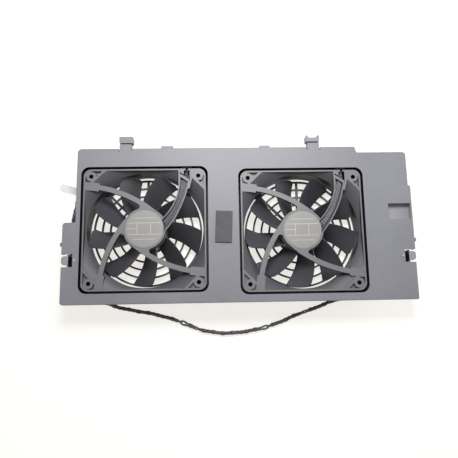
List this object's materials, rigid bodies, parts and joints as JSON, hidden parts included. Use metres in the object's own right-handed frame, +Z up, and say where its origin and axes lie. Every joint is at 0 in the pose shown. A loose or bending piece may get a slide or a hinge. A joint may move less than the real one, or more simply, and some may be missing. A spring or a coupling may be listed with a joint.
{
  "type": "fan assembly",
  "caption": "Flat moulded holder with axial cooling fans in square wells, finger guards behind them, sprung side latches, hooks on the back edge and a twisted lead.",
  "frame": {"origin": "middle of the holder's footprint, without the lead, on the surface that it lies on", "axes": "+X along the long side, +Y towards the edge with the hooks, +Z up out of the fans' outlet side"},
  "size_m": [0.364, 0.1974, 0.0335],
  "materials": {
    "bracket_plastic": "fine moulded texture",
    "fan_plastic": "satin moulded",
    "impeller_plastic": "satin moulded",
    "guard_plastic": "satin moulded",
    "foam": "matt cellular foam",
    "rubber": "matt",
    "label_film": "satin film",
    "label_paper": "satin paper",
    "ground_steel": "ground",
    "yoke_steel": "plated",
    "magnet": "matt",
    "lamination_steel": "stamped",
    "enamelled_copper": "enamelled",
    "board_laminate": "solder mask",
    "chip_plastic": "moulded",
    "wire_jacket": "satin jacket",
    "connector_plastic": "satin moulded"
  },
  "bodies": {
    "holder": {"bracket": "bracket_plastic", "hook_left": "bracket_plastic", "hook_right": "bracket_plastic", "foam_pad": "foam", "fan_lead": "wire_jacket", "lead_connector": "connector_plastic", "lead_label": "label_paper", "fan_frame_left": "fan_plastic", "rear_bearing_left": "ground_steel", "front_bearing_left": "ground_steel", "stator_core_left": "lamination_steel", "stator_coils_left": "enamelled_copper", "circuit_board_left": "board_laminate", "board_components_left": "chip_plastic", "motor_label_left": "label_film", "strut_wires_left": "wire_jacket", "isolator_pins_left": "rubber", "finger_guard_left": "guard_plastic", "lead_grommet_left": "rubber", "fan_frame_right": "fan_plastic", "rear_bearing_right": "ground_steel", "front_bearing_right": "ground_steel", "stator_core_right": "lamination_steel", "stator_coils_right": "enamelled_copper", "circuit_board_right": "board_laminate", "board_components_right": "chip_plastic", "motor_label_right": "label_film", "strut_wires_right": "wire_jacket", "isolator_pins_right": "rubber", "finger_guard_right": "guard_plastic", "lead_grommet_right": "rubber"},
    "rotor_left": {"impeller_left": "impeller_plastic", "rotor_yoke_left": "yoke_steel", "rotor_magnet_left": "magnet", "rotor_shaft_left": "ground_steel", "thrust_washer_left": "ground_steel", "retaining_clip_left": "ground_steel"},
    "rotor_right": {"impeller_right": "impeller_plastic", "rotor_yoke_right": "yoke_steel", "rotor_magnet_right": "magnet", "rotor_shaft_right": "ground_steel", "thrust_washer_right": "ground_steel", "retaining_clip_right": "ground_steel"},
    "snap_left": {"latch_left": "bracket_plastic"},
    "snap_right": {"latch_right": "bracket_plastic"}
  },
  "joints": [
    {"name": "spin_left", "type": "hinge", "parent": "holder", "child": "rotor_left", "pos_m": [-0.0923, -0.0105, 0.0185], "axis": [0, 0, -1], "continuous": true},
    {"name": "spin_right", "type": "hinge", "parent": "holder", "child": "rotor_right", "pos_m": [0.0617, -0.0135, 0.0185], "axis": [0, 0, -1], "continuous": true},
    {"name": "press_left", "type": "hinge", "parent": "holder", "child": "snap_left", "pos_m": [-0.1651, -0.0407, 0.0112], "axis": [0, 1, 0], "range_deg": [0, 6], "stiffness_Nm_per_rad": 1},
    {"name": "press_right", "type": "hinge", "parent": "holder", "child": "snap_right", "pos_m": [0.1651, -0.0407, 0.0112], "axis": [0, -1, 0], "range_deg": [0, 6], "stiffness_Nm_per_rad": 1}
  ]
}
